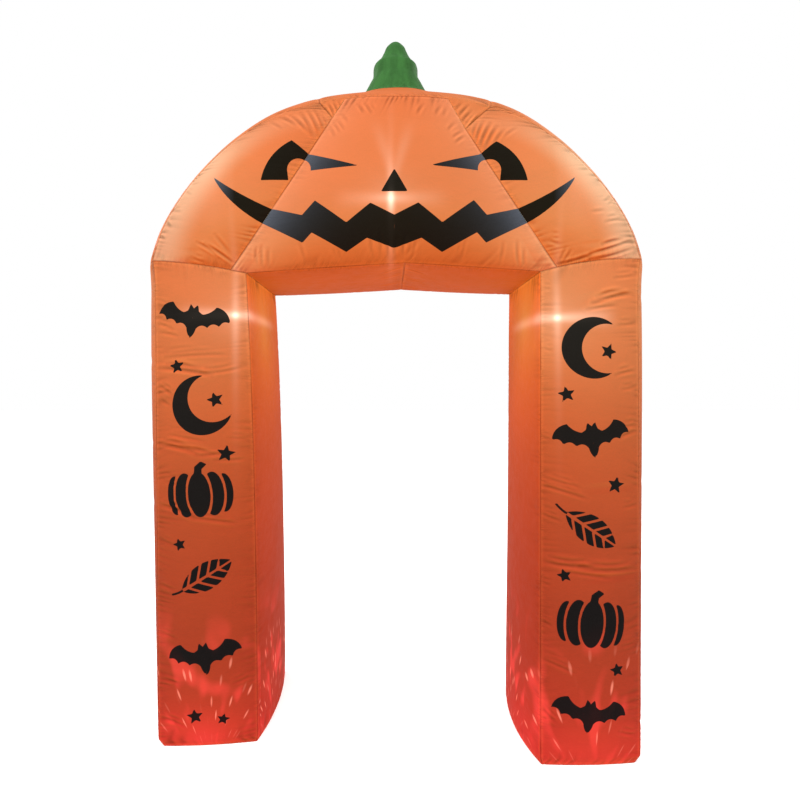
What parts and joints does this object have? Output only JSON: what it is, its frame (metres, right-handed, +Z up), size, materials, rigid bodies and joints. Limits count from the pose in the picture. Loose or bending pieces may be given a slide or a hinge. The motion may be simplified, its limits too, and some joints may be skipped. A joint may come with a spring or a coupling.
{
  "type": "inflatable arch",
  "caption": "Walk-through inflatable arch of coated cloth: box-section legs carry a half-round pumpkin head with a short stem over a square-topped doorway.",
  "frame": {"origin": "on the ground, in the middle of the arch's width and depth", "axes": "+Z up; -Y out of the face; +X across the doorway, to the right as the face is looked at"},
  "size_m": [1.9392, 0.9224, 2.744],
  "materials": {
    "orange_cloth": "thin coated polyester, low sheen",
    "green_cloth": "thin coated polyester, low sheen"
  },
  "bodies": {
    "root": {"leg_left_front": "orange_cloth", "leg_left_back": "orange_cloth", "leg_left_outer": "orange_cloth", "leg_left_inner": "orange_cloth", "leg_left_base": "orange_cloth", "leg_right_front": "orange_cloth", "leg_right_back": "orange_cloth", "leg_right_outer": "orange_cloth", "leg_right_inner": "orange_cloth", "leg_right_base": "orange_cloth", "head_front_centre": "orange_cloth", "head_front_left": "orange_cloth", "head_front_right": "orange_cloth", "head_back_centre": "orange_cloth", "head_back_left": "orange_cloth", "head_back_right": "orange_cloth", "crown_left": "orange_cloth", "crown_right": "orange_cloth", "crown_cap": "orange_cloth", "soffit_left": "orange_cloth", "soffit_right": "orange_cloth", "stem_front": "green_cloth", "stem_back": "green_cloth"}
  },
  "joints": []
}
